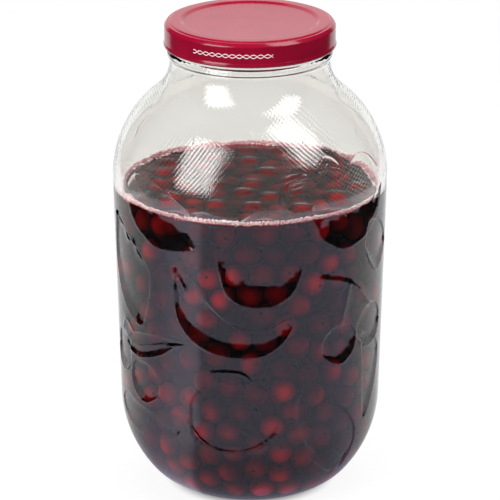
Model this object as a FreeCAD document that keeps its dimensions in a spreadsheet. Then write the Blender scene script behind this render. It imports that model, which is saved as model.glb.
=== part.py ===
"""Five-litre preserving jar: blown glass, twist-off lid and the cherries in juice inside it.

Frame: millimetres, +Z up, the origin on the jar's axis in the plane that it stands on.
Solids: the glass jar, the sheet-metal lid and the contents up to the juice's surface.
"""
import FreeCAD, Part
import math
import os
import Sketcher

V = FreeCAD.Vector
doc = FreeCAD.newDocument("PreservingJar")

# ---------------------------------------------------------------- driving sizes
SIZES = [
    ("body_radius", 85.0, "largest outer radius, at the top of the straight wall"),
    ("wall_taper", 3.6, "how much wider the wall is at its top than at its foot"),
    ("heel_height", 59.6, "height at which the heel meets the wall"),
    ("heel_ease", 16.4, "how much longer than the heel's height its flatter arc's radius is"),
    ("wall_height", 140.9, "height of the straight wall between heel and shoulder"),
    ("base_reach", 49.0, "how far the wall stands out past the ring that the jar stands on"),
    ("bearing_width", 7.0, "width of that ring"),
    ("push_up", 6.0, "rise of the domed base inside the ring"),
    ("bottom_thickness", 7.0, "glass under the contents"),
    ("wall", 4.5, "glass wall, shoulder and neck"),
    ("shoulder_radius", 68.0, "radius of the shoulder's arc"),
    ("neck_fillet", 25.4, "radius of the hollow between shoulder and neck"),
    ("neck_radius", 49.2, "outer radius of the neck and the finish"),
    ("throat", 2.022, "upright neck between the hollow and the ring under the lid"),
    ("bead_half", 2.6, "half the height of that ring"),
    ("bead_round", 3.0, "radius of its section"),
    ("lid_stand", 1.8, "how far the lid's foot stays clear above that ring"),
    ("rim_round", 1.8, "rounding on both sides of the rim"),
    ("level_drop", 2.7, "how far the juice's surface lies below the shoulder"),
    ("skirt_gap", 3.2, "how far the lid's skirt stands out from the neck"),
    ("lid_sheet", 0.6, "thickness of the lid's sheet, lacquered"),
    ("lid_depth", 15.7, "lid's height, from the sealing ring's top to the curl's foot"),
    ("lid_corner", 2.4, "rounding between the lid's ledge and its skirt"),
    ("ledge_drop", 0.8, "how far the outer ledge lies below the sealing ring"),
    ("ledge_reach", 0.5, "how far out from the neck that ledge starts"),
    ("ring_inset", 0.6, "how far in from the neck's outside the sealing ring ends"),
    ("ring_overhang", 2.1, "how far the sealing ring reaches in past the bore"),
    ("panel_slope", 2.4, "width of the slope between the sealing ring and the panel"),
    ("panel_drop", 1.2, "how far the panel lies below the sealing ring"),
    ("curl_radius", 1.1, "radius of the curl at the skirt's foot"),
    ("curl_stand", 0.5, "how far the curl stands out from the skirt"),
    ("lug_length", 14.0, "length of a lug, measured round the lid"),
    ("lug_gap", 0.6, "how far a lug stays clear of the neck"),
    ("lug_height", 1.8, "height of a lug"),
]
LUG_COUNT = 6

sheet = doc.addObject("Spreadsheet::Sheet", "Sizes")
size = {}
for row, (alias, value, meaning) in enumerate(SIZES, start=1):
    sheet.set(f"A{row}", meaning)
    sheet.set(f"B{row}", str(value))
    sheet.setAlias(f"B{row}", alias)
    size[alias] = value
doc.recompute()
following = {}


def cells(formula):
    """Return a formula in size names as an expression on the spreadsheet's cells."""
    names = list(size)
    for alias in sorted(names, key=len, reverse=True):
        formula = formula.replace(alias, f"@{names.index(alias)}@")
    for number, alias in enumerate(names):
        formula = formula.replace(f"@{number}@", following.get(alias, f"Sizes.{alias}"))
    return formula


def value_of(formula):
    """Work out a formula in size names from the values above."""
    names = dict(size)
    result = 0.0
    sign = 1.0
    for word in formula.replace("+", " + ").replace("-", " - ").split():
        if word == "+":
            sign = 1.0
        elif word == "-":
            sign = -1.0
        else:
            result += sign * (names[word] if word in names else float(word))
    return result


def follow(name, formula, value=None):
    """Name a size that follows from others; value is given where it isn't a plain sum."""
    following[name] = f"({cells(formula)})"
    size[name] = value_of(formula) if value is None else value


def neck_foot():
    """Return the height at which the hollow ends and the upright neck starts."""
    lean = math.atan(size["wall_taper"] / size["wall_height"])
    across = size["neck_radius"] + size["neck_fillet"] - size["body_radius"]
    across += size["shoulder_radius"] * math.cos(lean)
    rise = math.sqrt((size["shoulder_radius"] + size["neck_fillet"]) ** 2 - across**2)
    return size["shoulder_height"] + size["shoulder_radius"] * math.sin(lean) + rise


# ---------------------------------------------------------------- sizes that follow
follow("wall_foot_radius", "body_radius - wall_taper")
follow("heel_side_radius", "heel_height + heel_ease")
follow("bearing_outer", "body_radius - base_reach")
follow("bearing_inner", "bearing_outer - bearing_width")
follow("shoulder_height", "heel_height + wall_height")
follow("liquid_level", "shoulder_height - level_drop")
follow(
    "neck_foot",
    "shoulder_height + shoulder_radius * sin(atan(wall_taper / wall_height))"
    " + sqrt((shoulder_radius + neck_fillet)^2 - (neck_radius + neck_fillet"
    " - body_radius + shoulder_radius * cos(atan(wall_taper / wall_height)))^2)",
    neck_foot(),
)
follow("bead_height", "neck_foot + throat + bead_half")
follow("rim_height", "bead_height + bead_half + lid_stand + lid_depth - lid_sheet")
follow("lid_radius", "neck_radius + skirt_gap")
follow("ledge_radius", "neck_radius + ledge_reach")
follow("ring_outer", "neck_radius - ring_inset")
follow("ring_inner", "neck_radius - wall - ring_overhang")
follow("panel_radius", "ring_inner - panel_slope")
follow("lid_top", "rim_height + lid_sheet")
follow("lid_panel", "lid_top - panel_drop")
follow("lid_ledge", "lid_top - ledge_drop")
follow("lid_foot", "lid_top - lid_depth + curl_radius")


# ---------------------------------------------------------------- sketch helpers
class Outline:
    """A closed half section in a body's XZ plane: x is the radius, y the height."""

    def __init__(self, body, name):
        self.sketch = body.newObject("Sketcher::SketchObject", name)
        plane = next(f for f in body.Origin.OriginFeatures if f.Role == "XZ_Plane")
        self.sketch.AttachmentSupport = [(plane, "")]
        self.sketch.MapMode = "FlatFace"
        self.edges = []

    def line(self, start, end):
        """Add a straight edge and return its number."""
        edge = Part.LineSegment(V(start[0], start[1], 0), V(end[0], end[1], 0))
        self.edges.append(self.sketch.addGeometry(edge, False))
        return self.edges[-1]

    def arc(self, centre, start, end):
        """Add the shorter arc about centre from start to end; return its number and end marks."""
        radius = math.dist(centre, start)
        first = math.atan2(start[1] - centre[1], start[0] - centre[0])
        last = math.atan2(end[1] - centre[1], end[0] - centre[0])
        turn = (last - first) % (2 * math.pi)
        forward = turn < math.pi
        if not forward:
            first, last = last, first
        circle = Part.Circle(V(centre[0], centre[1], 0), V(0, 0, 1), radius)
        self.edges.append(self.sketch.addGeometry(Part.ArcOfCircle(circle, first, last), False))
        return (self.edges[-1], 1, 2) if forward else (self.edges[-1], 2, 1)

    def join(self, edge_a, mark_a, edge_b, mark_b, smooth=False):
        """Join two edge ends, smoothly where asked."""
        kind = "Tangent" if smooth else "Coincident"
        self.sketch.addConstraint(Sketcher.Constraint(kind, edge_a, mark_a, edge_b, mark_b))

    def bind(self, kind, edge, mark, formula):
        """Hold a point's radius (DistanceX) or height (DistanceY) to a formula of sizes."""
        value = value_of(formula)
        number = self.sketch.addConstraint(Sketcher.Constraint(kind, -1, 1, edge, mark, value))
        self.sketch.setExpression(f"Constraints[{number}]", cells(formula))

    def place(self, edge, mark, radius, height):
        """Hold a point to a radius and a height, each a formula or None for the zero axis."""
        if radius is None:
            self.sketch.addConstraint(Sketcher.Constraint("PointOnObject", edge, mark, -2))
        else:
            self.bind("DistanceX", edge, mark, radius)
        if height is None:
            self.sketch.addConstraint(Sketcher.Constraint("PointOnObject", edge, mark, -1))
        else:
            self.bind("DistanceY", edge, mark, height)

    def bind_radius(self, edge, formula):
        """Hold an arc's radius to a formula of sizes."""
        number = self.sketch.addConstraint(Sketcher.Constraint("Radius", edge, value_of(formula)))
        self.sketch.setExpression(f"Constraints[{number}]", cells(formula))


def revolve(body, sketch, name, angle=360.0):
    """Turn a half section about the body's Z axis and make it the body's tip."""
    feature = body.newObject("PartDesign::Revolution", name)
    feature.Profile = sketch
    feature.ReferenceAxis = (sketch, ["V_Axis"])
    feature.Angle = angle
    body.Tip = feature
    return feature


# ---------------------------------------------------------------- the wall's arcs
def heel_arcs(inset, floor):
    """Return the heel's foot and side arcs (centre, start, end), inset from the outside."""
    foot = (size["wall_foot_radius"] - inset, size["heel_height"])
    top = (size["body_radius"] - inset, size["shoulder_height"])
    lean = math.atan2(top[0] - foot[0], top[1] - foot[1])
    side_radius = size["heel_side_radius"] - inset
    side = (foot[0] - side_radius * math.cos(lean), foot[1] + side_radius * math.sin(lean))
    across = side[0] - size["bearing_outer"]
    rise = side[1] - floor
    foot_radius = (side_radius**2 - across**2 - rise**2) / (2 * (side_radius - rise))
    centre = (size["bearing_outer"], floor + foot_radius)
    share = side_radius / math.dist(side, centre)
    meet = tuple(side[i] + share * (centre[i] - side[i]) for i in (0, 1))
    return (centre, (centre[0], floor), meet), (side, meet, foot)


def shoulder_arcs(inset):
    """Return the shoulder's arc and the neck's hollow (centre, start, end), inset likewise."""
    foot = (size["wall_foot_radius"] - inset, size["heel_height"])
    top = (size["body_radius"] - inset, size["shoulder_height"])
    lean = math.atan2(top[0] - foot[0], top[1] - foot[1])
    radius = size["shoulder_radius"] - inset
    hollow = size["neck_fillet"] + inset
    centre = (top[0] - radius * math.cos(lean), top[1] + radius * math.sin(lean))
    neck = size["neck_radius"] - inset
    across = neck + hollow - centre[0]
    height = centre[1] + math.sqrt((radius + hollow) ** 2 - across**2)
    hollow_centre = (neck + hollow, height)
    share = radius / (radius + hollow)
    meet = tuple(centre[i] + share * (hollow_centre[i] - centre[i]) for i in (0, 1))
    return (centre, top, meet), (hollow_centre, meet, (neck, height))


def draw_wall(outline, floor_formula, inset_formula):
    """Draw base, heel, wall, shoulder and hollow, one edge after the other.

    Returns the first edge at the axis and the end of the hollow at the neck.
    """
    inset = value_of(inset_formula) if inset_formula else 0.0
    floor = value_of(floor_formula) if floor_formula else 0.0
    less = f" - {inset_formula}" if inset_formula else ""
    crown_formula = f"push_up + {floor_formula}" if floor_formula else "push_up"
    crown = value_of(crown_formula)
    rise = crown - floor
    dome_radius = (size["bearing_inner"] ** 2 + rise**2) / (2 * rise)
    foot_arc, side_arc = heel_arcs(inset, floor)
    top_arc, hollow_arc = shoulder_arcs(inset)

    dome = outline.arc((0.0, crown - dome_radius), (0.0, crown), (size["bearing_inner"], floor))
    ring = outline.line((size["bearing_inner"], floor), (size["bearing_outer"], floor))
    foot = outline.arc(*foot_arc)
    side = outline.arc(*side_arc)
    wall = outline.line(side_arc[2], top_arc[1])
    top = outline.arc(*top_arc)
    hollow = outline.arc(*hollow_arc)

    outline.join(dome[0], dome[2], ring, 1)
    outline.join(ring, 2, foot[0], foot[1], smooth=True)
    outline.join(foot[0], foot[2], side[0], side[1], smooth=True)
    outline.join(side[0], side[2], wall, 1, smooth=True)
    outline.join(wall, 2, top[0], top[1], smooth=True)
    outline.join(top[0], top[2], hollow[0], hollow[1], smooth=True)
    outline.place(dome[0], dome[1], None, crown_formula)
    outline.sketch.addConstraint(Sketcher.Constraint("PointOnObject", dome[0], 3, -2))
    outline.place(ring, 1, "bearing_inner", floor_formula)
    outline.place(ring, 2, "bearing_outer", floor_formula)
    outline.place(wall, 1, "wall_foot_radius" + less, "heel_height")
    outline.place(wall, 2, "body_radius" + less, "shoulder_height")
    outline.bind_radius(side[0], "heel_side_radius" + less)
    outline.bind_radius(top[0], "shoulder_radius" + less)
    outline.bind_radius(hollow[0], "neck_fillet" + less.replace("-", "+"))
    return (dome[0], dome[1]), (hollow[0], hollow[2]), hollow_arc[2]


# ---------------------------------------------------------------- glass
def make_blank():
    """Make the jar's outside as a full body: base, heel, wall, shoulder, neck, bead and rim."""
    body = doc.addObject("PartDesign::Body", "JarBlank")
    outline = Outline(body, "BlankOutline")
    start, hollow_end, neck = draw_wall(outline, None, None)
    neck_radius, rim = size["neck_radius"], size["rim_height"]
    low = size["bead_height"] - size["bead_half"]
    high = size["bead_height"] + size["bead_half"]
    inside = math.sqrt(size["bead_round"] ** 2 - size["bead_half"] ** 2)
    edge = rim - size["rim_round"]
    land = neck_radius - size["rim_round"]

    throat = outline.line(neck, (neck_radius, low))
    bead = outline.arc((neck_radius - inside, size["bead_height"]), (neck_radius, low), (neck_radius, high))
    finish = outline.line((neck_radius, high), (neck_radius, edge))
    lip = outline.arc((land, edge), (neck_radius, edge), (land, rim))
    land_line = outline.line((land, rim), (0.0, rim))
    axis = outline.line((0.0, rim), (0.0, size["push_up"]))

    outline.join(*hollow_end, throat, 1, smooth=True)
    outline.join(throat, 2, bead[0], bead[1])
    outline.join(bead[0], bead[2], finish, 1)
    outline.join(finish, 2, lip[0], lip[1], smooth=True)
    outline.join(lip[0], lip[2], land_line, 1, smooth=True)
    outline.join(land_line, 2, axis, 1)
    outline.join(axis, 2, *start)
    outline.place(throat, 2, "neck_radius", "bead_height - bead_half")
    outline.sketch.addConstraint(Sketcher.Constraint("Vertical", throat))
    outline.place(finish, 1, "neck_radius", "bead_height + bead_half")
    outline.bind_radius(bead[0], "bead_round")
    outline.sketch.addConstraint(Sketcher.Constraint("Vertical", finish))
    outline.bind_radius(lip[0], "rim_round")
    outline.sketch.addConstraint(Sketcher.Constraint("Horizontal", land_line))
    outline.place(axis, 1, None, "rim_height")
    revolve(body, outline.sketch, "BlankTurned")
    return body


def make_cavity():
    """Make the space inside the glass as a full body, with the flare of the rounded rim."""
    body = doc.addObject("PartDesign::Body", "JarCavity")
    outline = Outline(body, "CavityOutline")
    start, hollow_end, neck = draw_wall(outline, "bottom_thickness", "wall")
    bore, rim = size["neck_radius"] - size["wall"], size["rim_height"]
    edge = rim - size["rim_round"]
    mouth = bore + size["rim_round"]

    throat = outline.line(neck, (bore, edge))
    flare = outline.arc((mouth, edge), (bore, edge), (mouth, rim))
    mouth_line = outline.line((mouth, rim), (0.0, rim))
    axis = outline.line((0.0, rim), (0.0, size["push_up"] + size["bottom_thickness"]))

    outline.join(*hollow_end, throat, 1, smooth=True)
    outline.join(throat, 2, flare[0], flare[1], smooth=True)
    outline.join(flare[0], flare[2], mouth_line, 1, smooth=True)
    outline.join(mouth_line, 2, axis, 1)
    outline.join(axis, 2, *start)
    outline.bind("DistanceX", throat, 2, "neck_radius - wall")
    outline.sketch.addConstraint(Sketcher.Constraint("Vertical", throat))
    outline.bind_radius(flare[0], "rim_round")
    outline.sketch.addConstraint(Sketcher.Constraint("Horizontal", mouth_line))
    outline.place(axis, 1, None, "rim_height")
    revolve(body, outline.sketch, "CavityTurned")
    return body


def make_jar(blank, cavity):
    """Hollow the blank out: the jar is one piece of glass."""
    jar = doc.addObject("Part::Cut", "GlassJar")
    jar.Base = blank
    jar.Tool = cavity
    jar.Label = "glass_jar"
    return jar


def make_contents(cavity):
    """Fill the cavity with cherries in juice, up to the level of the surface."""
    level = doc.addObject("Part::Cylinder", "LevelBlock")
    level.setExpression("Radius", cells("body_radius"))
    level.setExpression("Height", cells("liquid_level"))
    contents = doc.addObject("Part::Common", "CherryContents")
    contents.Base = cavity
    contents.Tool = level
    contents.Label = "cherry_contents"
    return contents


# ---------------------------------------------------------------- lid
def make_lid():
    """Make the twist-off lid: pressed panel and sealing ring, ledge, skirt, curl and lugs."""
    body = doc.addObject("PartDesign::Body", "TwistLid")
    body.Label = "twist_lid"
    ring_top, panel, ledge = size["lid_top"], size["lid_panel"], size["lid_ledge"]
    radius, corner, foot = size["lid_radius"], size["lid_corner"], size["lid_foot"]

    outline = Outline(body, "LidOutline")
    points = [
        (0.0, panel, None, "lid_panel"),
        (size["panel_radius"], panel, "panel_radius", "lid_panel"),
        (size["ring_inner"], ring_top, "ring_inner", "lid_top"),
        (size["ring_outer"], ring_top, "ring_outer", "lid_top"),
        (size["ledge_radius"], ledge, "ledge_radius", "lid_ledge"),
        (radius - corner, ledge, "lid_radius - lid_corner", "lid_ledge"),
    ]
    top_edges = []
    for near, far in zip(points, points[1:]):
        top_edges.append(outline.line(near[:2], far[:2]))
    for edge, near in zip(top_edges, points):
        outline.place(edge, 1, near[2], near[3])
    outline.place(top_edges[-1], 2, points[-1][2], points[-1][3])
    for edge, after in zip(top_edges, top_edges[1:]):
        outline.join(edge, 2, after, 1)
    bend = outline.arc((radius - corner, ledge - corner), (radius - corner, ledge), (radius, ledge - corner))
    skirt = outline.line((radius, ledge - corner), (radius, foot))
    under = outline.line((radius, foot), (0.0, foot))
    axis = outline.line((0.0, foot), (0.0, panel))
    outline.join(top_edges[-1], 2, bend[0], bend[1], smooth=True)
    outline.join(bend[0], bend[2], skirt, 1, smooth=True)
    outline.join(skirt, 2, under, 1)
    outline.join(under, 2, axis, 1)
    outline.join(axis, 2, top_edges[0], 1)
    outline.bind_radius(bend[0], "lid_corner")
    outline.bind("DistanceX", skirt, 2, "lid_radius")
    outline.place(axis, 1, None, "lid_foot")
    outline.sketch.addConstraint(Sketcher.Constraint("Horizontal", under))
    pressed = revolve(body, outline.sketch, "LidPressed")
    doc.recompute()

    hollow = body.newObject("PartDesign::Thickness", "LidSheet")
    open_face = min(range(len(pressed.Shape.Faces)), key=lambda i: pressed.Shape.Faces[i].CenterOfMass.z)
    hollow.Base = (pressed, [f"Face{open_face + 1}"])
    hollow.setExpression("Value", cells("lid_sheet"))
    hollow.Mode = 0
    hollow.Join = 0
    hollow.Reversed = True
    body.Tip = hollow

    curl = Outline(body, "CurlSection")
    centre = (radius + size["curl_stand"] - size["curl_radius"], foot)
    circle = Part.Circle(V(centre[0], centre[1], 0), V(0, 0, 1), size["curl_radius"])
    edge = curl.sketch.addGeometry(circle, False)
    curl.place(edge, 3, "lid_radius + curl_stand - curl_radius", "lid_foot")
    curl.bind_radius(edge, "curl_radius")
    revolve(body, curl.sketch, "Curl")

    lug = Outline(body, "LugSection")
    inner = size["neck_radius"] + size["lug_gap"]
    corners = [(inner, foot), (radius - size["lid_sheet"], foot),
               (radius - size["lid_sheet"], foot + size["lug_height"]), (inner, foot + size["lug_height"])]
    sides = [lug.line(corners[i], corners[(i + 1) % 4]) for i in range(4)]
    for edge, after in zip(sides, sides[1:] + sides[:1]):
        lug.join(edge, 2, after, 1)
    for edge, kind in zip(sides, ("Horizontal", "Vertical", "Horizontal", "Vertical")):
        lug.sketch.addConstraint(Sketcher.Constraint(kind, edge))
    lug.place(sides[0], 1, "neck_radius + lug_gap", "lid_foot")
    lug.place(sides[2], 1, "lid_radius - lid_sheet", "lid_foot + lug_height")
    one_lug = revolve(body, lug.sketch, "Lug")
    one_lug.Midplane = True
    one_lug.setExpression("Angle", cells("lug_length / lid_radius * 180 / pi"))
    doc.recompute()

    ring = body.newObject("PartDesign::PolarPattern", "Lugs")
    ring.Originals = [one_lug]
    ring.Axis = (lug.sketch, ["V_Axis"])
    ring.Angle = 360.0
    ring.Occurrences = LUG_COUNT
    body.Tip = ring
    return body


def check(objects):
    """Stop if any object failed to build or any kept solid is missing or broken."""
    for item in doc.Objects:
        if "Invalid" in item.State or "Error" in item.State:
            raise RuntimeError(f"{item.Label} failed to build: {item.State}")
    for item in objects:
        if item.Shape.isNull() or not item.Shape.isValid():
            raise RuntimeError(f"{item.Label} has no valid shape")
        if len(item.Shape.Solids) != 1:
            raise RuntimeError(f"{item.Label} is not one solid")


jar_blank = make_blank()
jar_cavity = make_cavity()
kept = [make_jar(jar_blank, jar_cavity), make_contents(jar_cavity), make_lid()]
doc.recompute()
check(kept)

os.makedirs("parts", exist_ok=True)
for item in kept:
    item.Shape.exportStep(f"parts/{item.Label}.step")
    print(f"{item.Label}: {item.Shape.Volume / 1000:.1f} cm3")
print(f"room inside the glass: {jar_cavity.Shape.Volume / 1e6:.2f} litres")
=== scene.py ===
# %% [markdown]
# # A glass jar of sour cherries
# A preserving jar of clear pressed glass, with fruits in low relief round its wall, a red twist-off lid,
# and pitted sour cherries in their juice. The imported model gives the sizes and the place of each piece,
# and this lesson dresses it. Every length is written in millimetres and turned into metres at the end.

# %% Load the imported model
import math

import bpy
import bmesh
import numpy as np
from mathutils.geometry import delaunay_2d_cdt
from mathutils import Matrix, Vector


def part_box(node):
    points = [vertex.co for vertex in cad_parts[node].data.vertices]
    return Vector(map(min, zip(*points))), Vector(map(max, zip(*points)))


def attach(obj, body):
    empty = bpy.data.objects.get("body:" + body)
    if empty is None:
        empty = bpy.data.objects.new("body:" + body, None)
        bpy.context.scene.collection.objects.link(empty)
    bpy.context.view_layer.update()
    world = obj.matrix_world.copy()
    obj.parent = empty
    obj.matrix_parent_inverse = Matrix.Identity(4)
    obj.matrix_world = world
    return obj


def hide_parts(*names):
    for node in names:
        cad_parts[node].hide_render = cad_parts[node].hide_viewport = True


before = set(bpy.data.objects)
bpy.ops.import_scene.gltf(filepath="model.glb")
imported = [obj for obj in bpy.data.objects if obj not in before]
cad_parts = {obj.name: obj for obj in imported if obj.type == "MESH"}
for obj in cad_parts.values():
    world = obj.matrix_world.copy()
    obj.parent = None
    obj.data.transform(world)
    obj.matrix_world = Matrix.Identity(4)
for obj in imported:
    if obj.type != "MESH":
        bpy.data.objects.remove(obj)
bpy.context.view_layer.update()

MM = 0.001
jar_low, jar_high = (np.array(corner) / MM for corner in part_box("glass_jar"))
lid_low, lid_high = (np.array(corner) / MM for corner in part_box("twist_lid"))
LIQUID_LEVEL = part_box("cherry_contents")[1][2] / MM
print("jar", jar_low, jar_high, "lid", lid_low, lid_high, "level", LIQUID_LEVEL)

# %% [markdown]
# ## Helpers
# A mesh is made from plain lists of points and faces, merged and turned outwards once. A revolved piece is
# a row of (radius, height) points turned round the jar's axis, which is how a pressed glass wall, a liquid
# and a spun lid are all described. Node trees are long to write by hand, so a small class adds a node and
# sets or links its inputs in one line.

# %% Mesh helpers
SEGMENTS = 240


def shown(name, data):
    """A new object of that data, put in the scene."""
    made = bpy.data.objects.new(name, data)
    bpy.context.scene.collection.objects.link(made)
    return made


def at(radius, angle, height):
    """The point at a radius and height, at an angle round the axis: 0 is the front, more is to the right."""
    return radius * math.sin(angle), -radius * math.cos(angle), height


def new_piece(name, points, faces, smooth=True):
    """A mesh object from points in millimetres, with doubles merged and its faces turned outwards."""
    mesh = bpy.data.meshes.new(name)
    mesh.from_pydata([tuple(MM * c for c in p) for p in points], [], faces)
    work = bmesh.new()
    work.from_mesh(mesh)
    bmesh.ops.remove_doubles(work, verts=work.verts, dist=2e-6)
    bmesh.ops.recalc_face_normals(work, faces=work.faces)
    for face in work.faces:
        face.smooth = smooth
    work.to_mesh(mesh)
    work.free()
    print(name, len(mesh.polygons), "faces")
    return shown(name, mesh)


def turn(rows, segments=SEGMENTS, closed=False):
    """Points and faces of rows of (radius, height) turned about the jar's axis, starting at the back."""
    points, faces, rings = [], [], []
    for radius, height in rows:
        start = len(points)
        if radius < 1e-6:
            points.append((0.0, 0.0, height))
            rings.append([start] * segments)
            continue
        for k in range(segments):
            points.append(at(radius, 2 * math.pi * k / segments - math.pi, height))
        rings.append(list(range(start, start + segments)))
    pairs = list(zip(rings, rings[1:]))
    if closed:
        pairs.append((rings[-1], rings[0]))
    for low, high in pairs:
        for k in range(segments):
            n = (k + 1) % segments
            face = list(dict.fromkeys([low[k], low[n], high[n], high[k]]))
            if len(face) > 2:
                faces.append(face)
    return points, faces


def sleeve(sections, closed=False):
    """Points and faces of the skin from each closed section to the next, and back to the first if closed."""
    count = len(sections[0])
    points = [p for section in sections for p in section]
    faces = []
    for k in range(len(sections) if closed else len(sections) - 1):
        n = (k + 1) % len(sections)
        faces += [[k * count + j, n * count + j, n * count + (j + 1) % count, k * count + (j + 1) % count]
                  for j in range(count)]
    return points, faces


# %% [markdown]
# ## Lines with round bends
# Glass and sheet steel never turn a sharp corner, so a section is drawn as arcs and straight stretches. An
# arc is given by its centre and ends. A bent line is given by its corners, each with the radius of its bend.

# %% Arcs and rounded corners
def arc(centre, start, end, steps):
    """Points of the arc from start to end about centre, taken the short way round."""
    a0 = math.atan2(start[1] - centre[1], start[0] - centre[0])
    a1 = math.atan2(end[1] - centre[1], end[0] - centre[0])
    if a1 - a0 > math.pi:
        a1 -= 2 * math.pi
    if a0 - a1 > math.pi:
        a1 += 2 * math.pi
    radius = math.hypot(start[0] - centre[0], start[1] - centre[1])
    angles = [a0 + (a1 - a0) * k / steps for k in range(steps + 1)]
    return [(centre[0] + radius * math.cos(a), centre[1] + radius * math.sin(a)) for a in angles]


def rounded(corners, steps=5):
    """A line of (radius, height, rounding) corners with each corner replaced by its own small arc."""
    out = []
    for i, (x, z, size) in enumerate(corners):
        here = np.array((x, z))
        if size <= 0 or i in (0, len(corners) - 1):
            out.append((x, z))
            continue
        before = np.array(corners[i - 1][:2]) - here
        after = np.array(corners[i + 1][:2]) - here
        before /= np.linalg.norm(before)
        after /= np.linalg.norm(after)
        half = math.acos(max(-1.0, min(1.0, float(before @ after)))) / 2
        reach = size / math.tan(half)
        middle = before + after
        middle /= np.linalg.norm(middle)
        centre = here + middle * size / math.sin(half)
        out += arc(tuple(centre), tuple(here + before * reach), tuple(here + after * reach), steps)
    return out


# %% [markdown]
# ## Writing node trees
# A node tree is sums and products of sockets, so the small class below names the few that every finish
# here uses: a product, a smooth step, the angle round the axis, a noise, a bump. A colour is three numbers.

# %% Node helpers
class Nodes:
    """Adds nodes to a tree. Inputs are given by name or place, as a value or as another node's socket."""

    def __init__(self, tree, output=None):
        self.tree = tree
        self.output = self.add(output) if output else None

    def add(self, kind, inputs=None, **settings):
        made = self.tree.nodes.new(kind)
        for key, value in settings.items():
            setattr(made, key, value)
        for key, value in (inputs or {}).items():
            socket = made.inputs[key]
            if isinstance(value, bpy.types.NodeSocket):
                self.tree.links.new(value, socket)
            else:
                socket.default_value = (*value, 1.0) if socket.type == "RGBA" else value
        return made

    def show(self, shader, socket=0):
        """Links the shader to the tree's output."""
        self.tree.links.new(shader, self.output.inputs[socket])

    def math(self, operation, *values, clamp=False):
        made = self.add("ShaderNodeMath", dict(enumerate(values)), operation=operation, use_clamp=clamp)
        return made.outputs[0]

    def times(self, first, second):
        return self.math("MULTIPLY", first, second)

    def plus(self, first, second, clamp=False):
        return self.math("ADD", first, second, clamp=clamp)

    def minus(self, first, second):
        return self.math("SUBTRACT", first, second)

    def opposite(self, value):
        """1 where the value is 0, and 0 where it is 1."""
        return self.minus(1.0, value)

    def step(self, value, low, high):
        """0 below low, 1 above high, smooth between."""
        made = self.add("ShaderNodeMapRange", {0: value, 1: low, 2: high}, interpolation_type="SMOOTHSTEP")
        return made.outputs[0]

    def turn_step(self, angle, low, high):
        """The same for an angle, with low and high in degrees."""
        return self.step(angle, math.radians(low), math.radians(high))

    def parts(self, vector):
        """A vector's x, y and z."""
        return self.add("ShaderNodeSeparateXYZ", {0: vector}).outputs

    def length(self, vector):
        return self.add("ShaderNodeVectorMath", {0: vector}, operation="LENGTH").outputs[1]

    def from_axis(self, vector):
        """How far a place is from the jar's axis."""
        flat = self.add("ShaderNodeVectorMath", {0: vector, 1: (1, 1, 0)}, operation="MULTIPLY")
        return self.length(flat.outputs[0])

    def bearing(self, vector):
        """The angle of a place round the axis: 0 is the front, more is to the right."""
        x, y, _ = self.parts(vector)
        return self.math("ARCTAN2", x, self.times(y, -1.0))

    def noise(self, vector, scale, detail=2.0, rough=0.5):
        return self.add("ShaderNodeTexNoise", {"Vector": vector, "Scale": scale, "Detail": detail,
                                               "Roughness": rough}).outputs[0]

    def bump(self, height, strength, distance, **inputs):
        """A normal tipped by a height."""
        return self.add("ShaderNodeBump", {"Strength": strength, "Distance": distance, "Height": height,
                                           **inputs}).outputs[0]

    def mix(self, factor, first, second):
        """A colour between two colours."""
        made = self.add("ShaderNodeMix", {0: factor, 6: first, 7: second}, data_type="RGBA")
        return made.outputs[2]

    def blend(self, factor, first, second):
        """A shader between two shaders."""
        return self.add("ShaderNodeMixShader", {0: factor, 1: first, 2: second}).outputs[0]

    def clear(self, colour=(1, 1, 1)):
        """A shader that light passes straight."""
        return self.add("ShaderNodeBsdfTransparent", {"Color": colour}).outputs[0]


def new_material(name):
    """An empty node material, its helper and its object coordinates."""
    material = bpy.data.materials.new(name)
    material.use_nodes = True
    material.node_tree.nodes.clear()
    nodes = Nodes(material.node_tree, "ShaderNodeOutputMaterial")
    return material, nodes, nodes.add("ShaderNodeTexCoord").outputs["Object"]


def lit_through(nodes, shader):
    """The shader for what is seen, and clear for light on its way to what is inside."""
    path = nodes.add("ShaderNodeLightPath").outputs
    passing = nodes.math("MAXIMUM", path["Is Shadow Ray"], path["Is Diffuse Ray"])
    return nodes.blend(passing, shader, nodes.clear((0.96, 0.97, 0.96)))


# %% [markdown]
# ## The wall's outline
# A pressed jar is a turned shape: a dome pushed up under the base, a narrow ring that it stands on, a round
# heel, a wall that widens a little upwards, a round shoulder, a hollow sweep into the neck, a bead and a
# rim. The arcs run into each other without a corner, so each one's centre is worked out from the one
# before. The same rule gives the outside and, with other radii, the inside.

# %% Sizes of the wall
BODY_RADIUS = jar_high[0]
RIM_HEIGHT = jar_high[2]
WALL = 4.5
WALL_FOOT_RADIUS = BODY_RADIUS - 3.6
HEEL_HEIGHT = 59.6
HEEL_RADIUS = 76.0
BEARING_OUTER = 36.0
BEARING_INNER = 29.0
PUSH_UP = 6.0
BOTTOM = 7.0
SHOULDER_HEIGHT = 200.5
SHOULDER_RADIUS = 68.0
NECK_FILLET = 25.4
NECK_RADIUS = 49.2
BEAD_HEIGHT = 280.4
BEAD_HALF = 2.6
BEAD_ROUND = 3.0
RIM_ROUND = 1.8


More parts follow.
